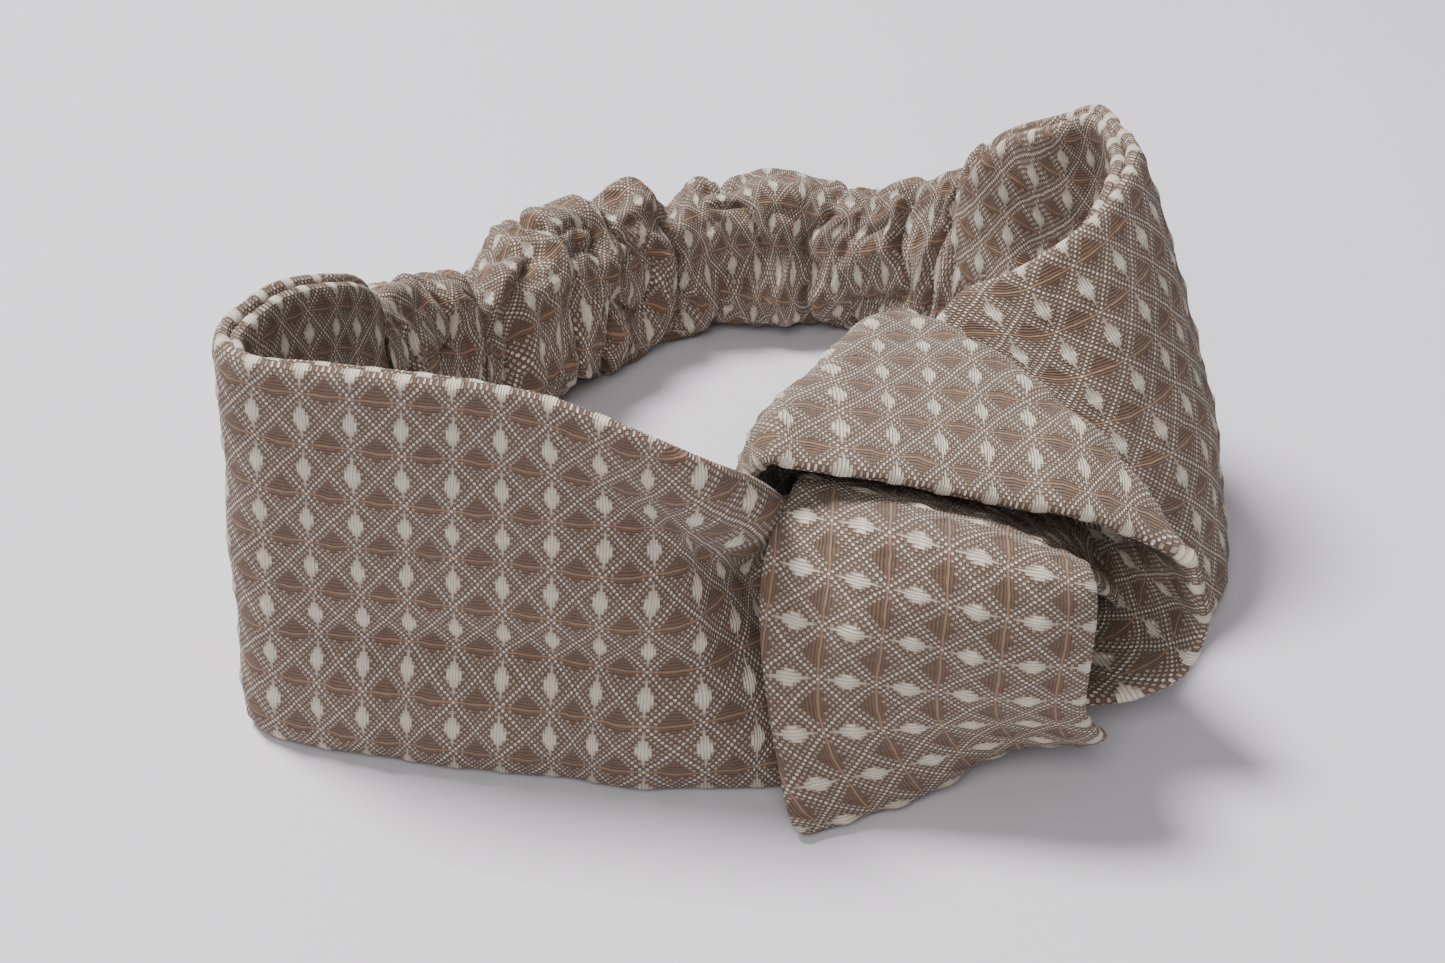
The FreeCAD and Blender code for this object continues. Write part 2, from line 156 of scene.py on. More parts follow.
def weave_coordinates(grid, start):
    """For each grid point its place in the cloth, in repeats along and across."""
    cols = len(grid[0])
    middle = cols // 2
    u, out = start, []
    for i, line in enumerate(grid):
        if i:
            u += (line[middle] - grid[i - 1][middle]).length / REPEAT_ALONG
        reach = [0.0]
        for a, b in zip(line, line[1:]):
            reach.append(reach[-1] + (b - a).length)
        full = smooth((reach[-1] - 56.0) / 10.0)
        gain = lerp(1.0, STRIP_WIDTH / max(1.0, reach[-1]), full)
        out.append([(u, r * gain / REPEAT_ACROSS) for r in reach])
    return out


def new_object(name, verts, faces, uvs, material):
    """A mesh from points in millimetres; uvs hold the cloth coordinates of each face corner."""
    mesh = bpy.data.meshes.new(name)
    mesh.from_pydata([tuple(v * MM) for v in verts], [], faces)
    layer = mesh.uv_layers.new(name="weave")
    k = 0
    for corners in uvs:
        for uv in corners:
            layer.data[k].uv = uv
            k += 1
    mesh.materials.append(material)
    mesh.polygons.foreach_set("use_smooth", [True] * len(mesh.polygons))
    mesh.update()
    ob = bpy.data.objects.new(name, mesh)
    bpy.context.scene.collection.objects.link(ob)
    return ob


def relief(u, v):
    """How far the floats of the weave stand out of the cloth, in millimetres."""
    a, b = abs((u + 0.5) % 1 - 0.5), abs((v + 0.5) % 1 - 0.5)
    cream = smooth(1 - b / 0.38 - a / 0.28)
    brown = smooth(1 - (0.5 - a) / 0.36 - (0.5 - b) / 0.30)
    return 0.58 * cream + 0.34 * brown - 0.12


def thick_ply(name, grid, material, thickness, start=0.0, puff=0.0, way=1, drawn_on=None):
    """A flattened tube round a grid: two faces, rounded edges and closed ends.

    The weave starts at start and runs across the cloth one way or the other. It is laid out on the grid
    drawn_on, where a fold is to press into the cloth without moving its pattern.
    """
    face = normals(grid)
    cloth = weave_coordinates(drawn_on or grid, start)
    rows, cols = len(grid), len(grid[0])
    verts, coords = [], []
    for i in range(rows):
        line = grid[i]
        reach = [0.0]
        for a, b in zip(line, line[1:]):
            reach.append(reach[-1] + (b - a).length)
        end_soft = min(1.0, 0.25 + min(i, rows - 1 - i) / 4.0)
        front, back = [], []
        for j in range(cols):
            inset = min(reach[j], reach[-1] - reach[j]) / (thickness * 0.9)
            round_off = math.sqrt(max(0.0, 1 - (1 - min(1.0, inset)) ** 2))
            crown = 1 + puff * math.sin(math.pi * reach[j] / reach[-1])
            half = thickness / 2 * round_off * crown * end_soft
            u, v = cloth[i][j]
            v *= way
            half += relief(u, v) * round_off * end_soft
            front.append((line[j] + face[i][j] * half, (u, v)))
            back.append((line[j] - face[i][j] * half, (u, -v)))
        ring = front + back[-2:0:-1]
        verts += [Vector((p.x, p.y, max(TABLE_GAP, p.z))) for p, _ in ring]
        coords.append([c for _, c in ring])
    ring_size = 2 * cols - 2
    faces, uvs = [], []
    for i in range(rows - 1):
        for j in range(ring_size):
            k = (j + 1) % ring_size
            faces.append((i * ring_size + j, i * ring_size + k, (i + 1) * ring_size + k, (i + 1) * ring_size + j))
            quad = [coords[i][j], coords[i][k], coords[i + 1][k], coords[i + 1][j]]
            if j == cols - 1:    # from the far edge on to the back
                quad = [(quad[0][0], -quad[0][1]), quad[1], quad[2], (quad[3][0], -quad[3][1])]
            uvs.append(quad)
    for i, flip in ((0, True), (rows - 1, False)):
        loop = [i * ring_size + j for j in range(ring_size)]
        loop_uv = list(coords[i])
        if flip:
            loop.reverse()
            loop_uv.reverse()
        faces.append(tuple(loop))
        uvs.append(loop_uv)
    return new_object(name, verts, faces, uvs, material)


# ---------------------------------------------------------------- materials

class Nodes:
    """A short way to write a shader's arithmetic."""

    def __init__(self, name):
        self.material = bpy.data.materials.new(name)
        self.material.use_nodes = True
        self.tree = self.material.node_tree
        self.tree.nodes.clear()

    def add(self, kind, **settings):
        node = self.tree.nodes.new(kind)
        for key, value in settings.items():
            setattr(node, key, value)
        return node

    def link(self, source, target):
        self.tree.links.new(source, target)

    def math(self, operation, *values):
        node = self.add("ShaderNodeMath", operation=operation)
        for socket, value in zip(node.inputs, values):
            if isinstance(value, (int, float)):
                socket.default_value = value
            else:
                self.link(value, socket)
        return node.outputs[0]

    def step(self, value, low, high):
        """0 below low, 1 above high, smooth between."""
        node = self.add("ShaderNodeMapRange", interpolation_type="SMOOTHSTEP")
        self.link(value, node.inputs["Value"])
        node.inputs["From Min"].default_value = low
        node.inputs["From Max"].default_value = high
        return node.outputs["Result"]

    def mix(self, factor, first, second):
        node = self.add("ShaderNodeMix", data_type="RGBA")
        for socket, value in ((node.inputs[0], factor), (node.inputs[6], first), (node.inputs[7], second)):
            if isinstance(value, tuple):
                socket.default_value = (*value, 1.0)
            elif isinstance(value, (int, float)):
                socket.default_value = value
            else:
                self.link(value, socket)
        return node.outputs[2]

    def noise(self, vector, scale, detail=2.0, roughness=0.5):
        node = self.add("ShaderNodeTexNoise")
        node.inputs["Scale"].default_value = scale
        node.inputs["Detail"].default_value = detail
        node.inputs["Roughness"].default_value = roughness
        self.link(vector, node.inputs["Vector"])
        return node.outputs["Fac"]

    def finish(self, colour, height, roughness, sheen, bump=0.6, distance=0.0003):
        shader = self.add("ShaderNodeBsdfPrincipled")
        self.link(colour, shader.inputs["Base Color"])
        shader.inputs["Roughness"].default_value = roughness
        shader.inputs["Specular IOR Level"].default_value = 0.2
        shader.inputs["Sheen Weight"].default_value = sheen
        shader.inputs["Sheen Roughness"].default_value = 0.5
        node = self.add("ShaderNodeBump")
        node.inputs["Strength"].default_value = bump
        node.inputs["Distance"].default_value = distance
        self.link(height, node.inputs["Height"])
        self.link(node.outputs["Normal"], shader.inputs["Normal"])
        output = self.add("ShaderNodeOutputMaterial")
        self.link(shader.outputs[0], output.inputs["Surface"])
        return self.material


def srgb(r, g, b):
    def one(c):
        c /= 255
        return c / 12.92 if c <= 0.04045 else ((c + 0.055) / 1.055) ** 2.4
    return (one(r), one(g), one(b))


CREAM = srgb(242, 231, 212)
# painted shade of the cream floats, between their yarns and round their rim
CREAM_PAINTED_SHADE = srgb(188, 172, 152)
BROWN_LIGHT = srgb(156, 124, 100)
BROWN = srgb(120, 92, 72)
# painted shade of the brown yarns, in the gaps between them
BROWN_PAINTED_SHADE = srgb(80, 60, 47)
DOT = srgb(250, 238, 222)
DOT_LOW = srgb(196, 175, 156)
GROUND = srgb(117, 94, 77)


def woven(name):
    """Dobby weave: cream and brown floats in diamonds, and pale dots on brown between them."""
    n = Nodes(name)
    uv = n.add("ShaderNodeUVMap", uv_map="weave").outputs["UV"]
    # the yarns wander a little from their straight lines
    wander = n.add("ShaderNodeTexNoise")
    wander.inputs["Scale"].default_value = 3.2
    wander.inputs["Detail"].default_value = 3.0
    n.link(uv, wander.inputs["Vector"])
    off = n.add("ShaderNodeVectorMath", operation="MULTIPLY_ADD")
    n.link(wander.outputs["Color"], off.inputs[0])
    off.inputs[1].default_value = (0.07, 0.07, 0.0)
    n.link(uv, off.inputs[2])
    parts = n.add("ShaderNodeSeparateXYZ")
    n.link(off.outputs[0], parts.inputs[0])
    x = n.math("MULTIPLY", parts.outputs[0], YARNS)
    y = n.math("MULTIPLY", parts.outputs[1], YARNS)

    def yarn(value):
        """The nearest yarn: its number, its profile, and its distance to the nearest whole repeat."""
        number = n.math("FLOOR", n.math("ADD", value, 0.5))
        off_axis = n.math("SUBTRACT", value, number)
        ridge = n.math("SUBTRACT", 1.0, n.math("MULTIPLY", n.math("MULTIPLY", off_axis, off_axis), 4.0))
        part = n.math("FRACT", n.math("ADD", n.math("DIVIDE", number, YARNS), 0.5))
        return number, ridge, n.math("ABSOLUTE", n.math("SUBTRACT", part, 0.5))

    def diamond(along, across, reach, width, tail):
        """1 inside a float diamond whose middle yarn runs on as far as the tail."""
        body = n.math("LESS_THAN", n.math("ADD", n.math("DIVIDE", along, reach), n.math("DIVIDE", across, width)), 1.0)
        line = n.math("MULTIPLY", n.math("LESS_THAN", across, 0.02), n.math("LESS_THAN", along, tail))
        return n.math("MAXIMUM", body, line)

    column, ridge_x, a = yarn(x)
    row, ridge_y, b = yarn(y)
    far_a, far_b = n.math("SUBTRACT", 0.5, a), n.math("SUBTRACT", 0.5, b)
    # both floats, the brown one wider on one side of its middle yarn
    cream = diamond(b, a, 0.30, 0.18, 0.36)
    above = n.math("LESS_THAN", n.math("FRACT", parts.outputs[1]), 0.5)
    brown = diamond(far_a, far_b, 0.33, n.math("ADD", 0.17, n.math("MULTIPLY", above, 0.12)), 0.46)
    # smooth pillows under the floats
    xs = n.math("ABSOLUTE", n.math("SUBTRACT", n.math("FRACT", n.math("ADD", parts.outputs[0], 0.5)), 0.5))
    ys = n.math("ABSOLUTE", n.math("SUBTRACT", n.math("FRACT", n.math("ADD", parts.outputs[1], 0.5)), 0.5))
    soft = n.math("ADD", xs, ys)
    pillow_cream = n.step(soft, 0.34, 0.02)
    pillow_brown = n.step(soft, 0.68, 0.98)
    # the pale lattice between the diamonds
    middle = n.math("ABSOLUTE", n.math("SUBTRACT", n.math("ADD", a, b), 0.5))
    lattice = n.step(middle, 0.12, 0.06)

    # plain weave: every second crossing shows a pale dot
    parity = n.math("ABSOLUTE", n.math("MODULO", n.math("ADD", column, row), 2.0))
    raised = n.math("LESS_THAN", parity, 0.5)
    dot = n.math("MULTIPLY", ridge_x, ridge_y)
    dot_up = n.math("MULTIPLY", dot, raised)
    plain_height = n.math("ADD", n.math("MULTIPLY", dot_up, 0.8), n.math("MULTIPLY", dot, 0.35))

    tone = n.noise(uv, 7.0, 3.0, 0.6)
    fibre = n.noise(uv, 150.0, 2.0, 0.75)
    pale = n.mix(lattice, DOT_LOW, DOT)
    # painted shade: the brown ground darker in the gaps between the yarns
    plain = n.mix(n.step(dot, 0.0, 0.5), BROWN_PAINTED_SHADE, GROUND)
    plain = n.mix(n.step(dot_up, 0.03, 0.34), plain, pale)
    # painted shade: the cream float darker between its yarns and round its rim
    full = n.math("MULTIPLY", n.step(ridge_x, -0.2, 0.7), n.step(soft, 0.38, 0.08))
    cream_float_with_painted_shade = n.mix(full, CREAM_PAINTED_SHADE, CREAM)
    # painted shade: the brown float darker between its yarns; its middle yarn is a lighter brown
    brown_float_with_painted_shade = n.mix(n.step(ridge_y, 0.0, 0.8), BROWN_PAINTED_SHADE, BROWN)
    centre = n.math("LESS_THAN", far_b, 0.035)
    brown_float_with_painted_shade = n.mix(n.math("MULTIPLY", centre, n.step(ridge_y, 0.0, 0.6)), brown_float_with_painted_shade, BROWN_LIGHT)
    colour = n.mix(cream, plain, cream_float_with_painted_shade)
    colour = n.mix(brown, colour, brown_float_with_painted_shade)
    vary = n.math("ADD", n.math("MULTIPLY", tone, 0.40), n.math("MULTIPLY", fibre, 0.50))
    shade = n.math("ADD", vary, 0.55)
    scaled = n.add("ShaderNodeVectorMath", operation="SCALE")
    n.link(colour, scaled.inputs[0])
    n.link(shade, scaled.inputs["Scale"])

    float_height = n.math("MULTIPLY", cream, n.math("ADD", n.math("MULTIPLY", ridge_x, 0.6),
                                                    n.math("MULTIPLY", pillow_cream, 2.2)))
    brown_height = n.math("MULTIPLY", brown, n.math("ADD", n.math("MULTIPLY", ridge_y, 0.6),
                                                    n.math("MULTIPLY", pillow_brown, 1.4)))
    base = n.math("MULTIPLY", plain_height, n.math("SUBTRACT", 1.0, n.math("MAXIMUM", cream, brown)))
    height = n.math("ADD", n.math("ADD", base, float_height), brown_height)
    height = n.math("ADD", height, n.math("MULTIPLY", fibre, 0.4))
    return n.finish(scaled.outputs[0], height, 0.9, 0.2, bump=1.0, distance=0.0005)


def yarn_material(name, light, dark, scale):
    """Twisted thread or knitted elastic: fine ribs and a tone that varies along it."""
    n = Nodes(name)
    place = n.add("ShaderNodeTexCoord").outputs["Object"]
    wave = n.add("ShaderNodeTexWave", wave_type="BANDS", bands_direction="DIAGONAL")
    wave.inputs["Scale"].default_value = scale
    wave.inputs["Distortion"].default_value = 1.5
    n.link(place, wave.inputs["Vector"])
    tone = n.noise(place, scale * 0.8, 3.0, 0.6)
    colour = n.mix(n.math("MULTIPLY", n.math("ADD", wave.outputs["Fac"], tone), 0.5), dark, light)
    return n.finish(colour, wave.outputs["Fac"], 0.8, 0.2, bump=0.6, distance=0.0002)


def table_material():
    n = Nodes("pale_table")
    place = n.add("ShaderNodeTexCoord").outputs["Object"]
    tone = n.noise(place, 3.0, 4.0, 0.5)
    colour = n.mix(tone, srgb(206, 203, 210), srgb(214, 211, 217))
    return n.finish(colour, tone, 0.7, 0.0, bump=0.02, distance=0.0002)


CLOTH = woven("dobby_weave")
THREAD = yarn_material("sewing_thread", srgb(178, 164, 152), srgb(120, 104, 94), 900.0)
ELASTIC = yarn_material("braided_elastic", srgb(232, 228, 220), srgb(196, 190, 182), 420.0)


# ---------------------------------------------------------------- the left strip

def upright(bottom, top, bulge=(0, 0, 0)):
    """A section of standing cloth from its bottom edge to its top edge, bowed by the bulge."""
    low, high, out = Vector(bottom), Vector(top), Vector(bulge)
    return [low.lerp(high, f) + out * math.sin(math.pi * f) for f in (0, 0.2, 0.4, 0.6, 0.8, 1)]


HOOD_TIP = Vector((-10.6, -55.7))       # where the hood's front fold starts, seen from above
HOOD_ALONG = Vector((0.962, -0.272))    # along that fold
HOOD_BACK = Vector((0.272, 0.962))      # away from it
HOOD_DEPTH = 57.0


def hood(p, w):
    """A point of the hood: p along the fold from its left tip, w across the cloth from the fold.

    The hood is level between two edges that meet at its back, and falls away beyond them.
    """
    depth = min(w, HOOD_DEPTH)
    share = depth / HOOD_DEPTH
    left = 23.0 * share ** 1.05
    right = 62.5 - 38.5 * share ** 0.9
    crest = min(max(p, left), right)
    over = abs(p - crest)
    radius = lerp(5.5, 3.0, share)
    turn = min(math.pi / 2, over / radius)
    side = radius * math.sin(turn)
    drop = radius * (1 - math.cos(turn)) + max(0.0, over - radius * math.pi / 2)
    a = crest + (side if p > crest else -side)
    front_z = 54.0 - 14.0 * p / 64.0 - 4.5 * smooth((p - 44) / 22)
    z = lerp(front_z, 46.0, share) + 3.0 * math.sin(math.pi * share ** 0.8) - drop
    extra = w - depth
    b = depth + min(extra, 5.0) * 0.7
    z -= extra * 1.5
    spot = HOOD_TIP + HOOD_ALONG * a + HOOD_BACK * b
    hem = 27.0 + 2.5 * math.sin(p / 9.0)
    if z < hem:
        z = hem - 4.0 * (1 - math.exp((z - hem) / 8.0))
    return (spot.x, spot.y, z)


def hood_section(p):
    return [hood(p, STRIP_WIDTH * i / 11) for i in range(12)]


def left_outer():
    return [
        upright((-51, 26, 4), (-49.5, 28, 38)),
        upright((-55.5, 18, 2), (-54.5, 18, 47), (-0.5, 0.5, 0)),
        upright((-59, 11.5, 1), (-57.5, 11, 56), (-0.7, 0.7, 0)),
        upright((-64, 5, 0.8), (-62, 3.5, 62), (-1, 1, 0)),
        upright((-72, -5, 0.8), (-70.3, -6, 68), (-1, 1, 0)),
        upright((-79.5, -14, 0.8), (-77.6, -13.5, 70)),
        upright((-84.8, -22.5, 0.8), (-83.2, -21.5, 70)),
        upright((-83.2, -30, 0.8), (-81.2, -29.2, 70)),
        upright((-73.5, -37, 0.8), (-71.5, -36.3, 70), (0, 0.5, 0)),
        upright((-62.5, -43, 0.8), (-59.5, -43, 70), (0.3, 0.8, 0)),
        upright((-51, -49, 0.8), (-48, -48.8, 69.5), (0.5, 1, 0)),
        upright((-42, -53.5, 0.8), (-40, -52.6, 68), (0.5, 1, 0)),
        upright((-33, -57.8, 0.8), (-30, -57.2, 64.5), (0.5, 1, 0)),
        upright((-22, -61.8, 0.8), (-22.5, -60.2, 61), (0, 2.0, 0)),
        upright((-12.5, -64.6, 0.8), (-15, -58, 55), (0, 4, 0)),
        upright((-3, -65, 2), (-7, -49, 43), (0, 3, 0)),
        [(12, -66, 7.5), (12, -57, 12), (11, -47, 18), (10, -38, 26), (9, -30, 32)],
        [(27, -68, 9), (28, -54, 11), (28, -40, 16), (27, -28, 21), (25, -18, 24)],
    ]


def loop_right():
    """The turn at the knot's right end, from the low ply up to the hood."""
    return [
        [(37, -69, 8.5), (38, -52, 9), (38, -36, 11), (36, -22, 16), (34, -13, 20)],
        [(45, -72, 10.5), (43.5, -55, 11.5), (41.5, -38, 13), (38.5, -22, 17), (37, -11, 20.5)],
        [(51, -75, 16), (47.5, -57, 17), (43.5, -39, 17), (40, -22, 20), (38.5, -9.5, 22.5)],
        [(53, -76, 24.5), (48.5, -57.5, 25), (44, -39.5, 24), (40.3, -22, 24), (38, -9, 24)],
        [(52.3, -75.5, 30), (48.5, -57, 32), (44, -39, 31), (40.3, -21.5, 30), (38, -9, 29)],
    ]


def left_inner():
    return [
        [(-17, -55, 50), (-14, -49, 42), (-8, -42, 30), (0, -33, 20), (8, -25, 12)],
        [(-24, -51, 55), (-22, -49, 42), (-19, -48, 26), (-16, -46, 14), (-13, -44, 5)],
        upright((-31, -50.5, 59.5), (-32, -51.5, 2.5)),
        upright((-47.2, -47.2, 68.3), (-50, -46, 1.5), (0.2, 1, 0)),
        upright((-69.2, -34, 68.8), (-70.8, -34, 1.5)),
        upright((-79.9, -28.3, 68.8), (-81, -28.2, 1.5)),
        upright((-81.6, -21.6, 68.8), (-82.2, -22.6, 1.5)),
        upright((-76.3, -14.6, 68.8), (-77.5, -15.7, 1.5)),
        upright((-69, -7.1, 66.8), (-70, -6.7, 1.5), (-1, 1, 0)),
        upright((-60.7, 2.4, 60.8), (-62, 3.3, 2), (-1, 1, 0)),
        upright((-56.1, 10.3, 54), (-57, 9.8, 3), (-0.5, 0.5, 0)),
        upright((-53.2, 17.4, 45.5), (-53.6, 16.8, 4)),
        upright((-48.6, 26.5, 36), (-49.8, 25.5, 6)),
    ]


FOLD_LINE = [Vector(p) for p in ((-46, 63), (-38, 56), (-26, 44), (-15, 35), (-4, 28))]     # x and z, from the front


def from_fold(spot):
    """How far a spot is above the fold's line, and how many of the line's points come before it."""
    near, where = 1e9, 0.0
    for k, (a, b) in enumerate(zip(FOLD_LINE, FOLD_LINE[1:])):
        along, to = b - a, spot - a
        f = min(1.0, max(0.0, to.dot(along) / along.length_squared))
        d = (spot - a.lerp(b, f)).length
        if d < abs(near):
            near, where = math.copysign(d, along.x * to.y - along.y * to.x), k + f
    return near, where


def crease(grid):
    """The fold that the knot pulls into the left strip's front, and the soft waves below it.

    The fold is steep above its line, eases off below it, and has a roll of cloth along its top.
    """
    face = normals(grid)
    # the front ends where the strip goes under the wrap
    knot = next(i for i, line in enumerate(grid) if line[len(line) // 2].x > 6)
    out = []
    for i, (line, line_normals) in enumerate(zip(grid, face)):
        row = []
        for p, n in zip(line, line_normals):
            push = 0.0
            if i < knot and p.y < -30:
                near, where = from_fold(Vector((p.x, p.z)))
                width = 5.5 if near > 0 else 9.0
                depth = smooth(where / 2.8) * smooth((-2 - p.x) / 8)
                push += 5.6 * depth * math.exp(-(near / width) ** 2)
                push -= 2.2 * depth * math.exp(-((near - 11) / 6) ** 2)
                reach = smooth((p.x + 82) / 16) * smooth((2 - p.x) / 14)
                push += 1.3 * reach * math.exp(-((p.z - 24) / 4.2) ** 2)
                push -= 1.5 * reach * math.exp(-((p.z - 9) / 8.0) ** 2)
            inward = n if n.y > 0 else -n
            row.append(p + inward * push)
        out.append(row)
    return out


def left_strip():
    stations = left_outer() + loop_right()
    stations += [hood_section(64 - 4 * i) for i in range(17)]
    stations += left_inner()
    grid = surface(stations)
    smooth_grid = rumple(grid, 0.9, 16.0, 1)
    return smooth_grid, crease(smooth_grid)


# ---------------------------------------------------------------- the right strip

def right_strip():
    stations = [
        upright((61, 41, 4), (58.5, 42, 40)),
        upright((63.5, 34.5, 1.5), (59.8, 35.5, 50), (0.5, 0, 0)),
        upright((67, 26, 0.8), (61.2, 27.5, 57.5), (1.0, 0, 0)),
        upright((73, 15, 0.8), (65.5, 17.5, 64), (2, 0.5, 0)),
        upright((79, 4, 0.8), (68.8, 10, 69), (3, 0, 0)),
        upright((82, -8, 0.8), (68, -1, 70), (3.2, -0.5, 0)),
        upright((82.5, -18, 0.8), (66, -9, 70), (3, -1.5, 0)),
        upright((80.5, -28, 0.8), (60.5, -17, 68.5), (3, -3, 0)),
        upright((76, -38, 0.8), (54.5, -20.5, 65.5), (2.5, -4, 0)),
        upright((69, -46, 2), (48.5, -20, 61), (2, -5, 0)),
        upright((61, -52, 6), (42.5, -16, 55), (1, -5, 0)),
        upright((53, -57, 13), (37.5, -11, 50), (0, -4, 0)),
        upright((46, -60, 20), (32, -9.5, 42), (0, -2, 2)),
        [(41, -63, 26), (35, -50, 33), (27, -36, 38), (20, -24, 37)],
        [(35, -71, 34), (24, -61, 39), (12, -49, 42), (2, -39, 40)],
        [(32.5, -77, 40.5), (20, -70, 44), (7, -60, 46), (-4, -50, 46)],
        [(31.5, -81.5, 41), (19, -76, 43.5), (4, -66, 46), (-8.5, -56, 45.5)],
        [(31, -83.5, 35.5), (18, -79.5, 37.5), (2.5, -70.5, 40), (-12, -59.5, 40)],
        [(30.3, -83.8, 28), (17, -80.5, 29.5), (1.5, -73, 31.5), (-13.6, -62.5, 31)],
        [(30.6, -83, 20.5), (17, -79.5, 21), (1.5, -74, 21.5), (-14, -67.5, 20)],
        [(33.2, -82.3, 15), (20, -77.5, 14), (3, -75, 12), (-13.5, -72, 10)],
        [(35.6, -80.8, 11.8), (23.5, -75.5, 9.5), (6, -75.5, 6), (-13, -75.5, 4)],
        [(36.8, -77.8, 9.8), (25, -71.5, 6.5), (9, -73.5, 2.4), (-12, -76.8, 1.6)],
        [(36.2, -73.2, 8.6), (24.5, -67, 4.6), (11, -68.5, 1.5), (-8, -73, 1.4)],
        [(38, -64, 4), (28, -59, 2.4), (16, -60, 1.4), (1, -63, 1.4)],
        [(46, -56, 3), (38, -49, 3), (29, -46, 3), (18, -45, 3)],
        [(55, -49, 2.5), (49, -40, 8), (43, -32, 14), (36, -25, 20)],
        upright((65, -45, 2), (45.3, -17.5, 48), (2, -4, 0)),
        upright((72.5, -36, 1.5), (53.2, -18.6, 62), (2.5, -4, 0)),
        upright((77, -26.5, 1.5), (59, -15.4, 67.3), (3, -3, 0)),
        upright((79, -17, 1.5), (64.6, -8.2, 68.8), (3, -1.5, 0)),
        upright((78.6, -7.5, 1.5), (66.4, -0.8, 68.8), (3.2, -0.5, 0)),
        upright((75.8, 3.5, 1.5), (67.1, 9.4, 67.8), (3, 0, 0)),
        upright((70.3, 14, 1.5), (64, 16.8, 62.8), (2, 0.5, 0)),
        upright((64, 24.5, 2), (59.6, 26.6, 56), (1, 0, 0)),
        upright((60.5, 33, 3), (57, 35, 46)),
        upright((58.5, 40, 6), (56.5, 41, 37)),
    ]
    grid = surface(stations)
    return rumple(grid, 0.9, 15.0, 2)


# ---------------------------------------------------------------- the gathered back

def casing_path():
    """The line under the middle of the casing, from the left join to the right one."""
    return [Vector(p) for p in (
        (-56.5, 15, 0), (-52, 24.5, 0), (-46.5, 33, 0), (-38.5, 40.5, 0), (-29, 47.5, 0), (-18.5, 57, 0),
        (-4, 65.5, 0), (12, 70.5, 0), (28, 70.5, 0), (42, 64.5, 0), (52.5, 54.5, 0), (60, 43, 0), (64, 31, 0))]


# where along the casing, as a share of its length: how high its top is there and half its depth
CASING_SIZE = [(0.0, 47, 5.2), (0.06, 44, 6.8), (0.11, 43, 8), (0.17, 38, 8.5), (0.205, 36, 7.5), (0.235, 28, 5),
               (0.27, 33, 8), (0.31, 35, 9.5), (0.36, 37, 10.5), (0.42, 34, 10), (0.47, 32, 8), (0.50, 33, 7),
               (0.55, 27, 5.5), (0.60, 30, 8.5), (0.66, 31, 10), (0.74, 29, 9.5), (0.79, 29, 6.5), (0.85, 34, 6.5),
               (0.90, 40, 6), (0.95, 46, 5.6), (1.0, 51, 5)]


def casing_size(share):
    for (a, top_a, deep_a), (b, top_b, deep_b) in zip(CASING_SIZE, CASING_SIZE[1:]):
        if share <= b:
            f = smooth((share - a) / (b - a))
            return lerp(top_a, top_b, f), lerp(deep_a, deep_b, f)
    return CASING_SIZE[-1][1:]


def casing_rings():
    """The casing's cloth: a soft tube drawn up on its elastic into uneven lobes and sharp pinches."""
    path = casing_path()
    params = even(path, 0.55)
    around = 120
    rings = []
    s, before = 0.0, None
    total = len(params) - 1
    for i, t in enumerate(params):
        c = spline(path, t)
        ahead = (spline(path, min(len(path) - 1, t + 0.02)) - spline(path, max(0, t - 0.02))).normalized()
        left = Vector((-ahead.y, ahead.x, 0)).normalized()
        if before is not None:
            s += (c - before).length
        before = c
        ends = smooth(min(i, total - i) / (total * 0.06))
        top, depth = casing_size(i / total)
        ring = []
        for k in range(around):
            angle = 2 * math.pi * k / around
            ca, sa = math.cos(angle), math.sin(angle)
            warp = noise.noise(Vector((s / 18, ca * 0.9, sa * 0.9))) * 15
            warp += noise.noise(Vector((s / 7, ca * 1.7 + 5, sa * 1.7))) * 5
            lobe = abs(math.sin(math.pi * (s + warp) / 15.0)) ** 0.5
            warp2 = warp * 1.4 + noise.noise(Vector((s / 5 + 9, ca * 2.2, sa * 2.2))) * 5
            small = abs(math.sin(math.pi * (s + warp2) / 6.3)) ** 0.7
            swell = noise.noise(Vector((s / 16 + 3, ca * 1.1, sa * 1.1)))
            dimple = noise.noise(Vector((s / 6 + 30, ca * 2.4, sa * 2.4)))
            puff = (lobe - 0.78) * 4.6 + (small - 0.75) * 1.2 + swell * 3.4 + dimple * 1.4
            deep = depth + puff * 0.9 * ends
            tall = top / 2 + puff * 0.7 * ends
            wide = math.copysign(abs(ca) ** 0.8, ca) * deep
            high = math.copysign(abs(sa) ** 0.9, sa) * tall
            slip = ahead * (noise.noise(Vector((s / 8, ca * 1.3, sa * 1.3 + 20))) * 2.2 * ends)
            p = c + left * wide + Vector((0, 0, top / 2 + 0.5 + high)) + slip
            p.z = max(0.7 + 0.3 * abs(noise.noise(p / 6)), p.z)
            ring.append(p)
        rings.append((s, ring))
    return rings


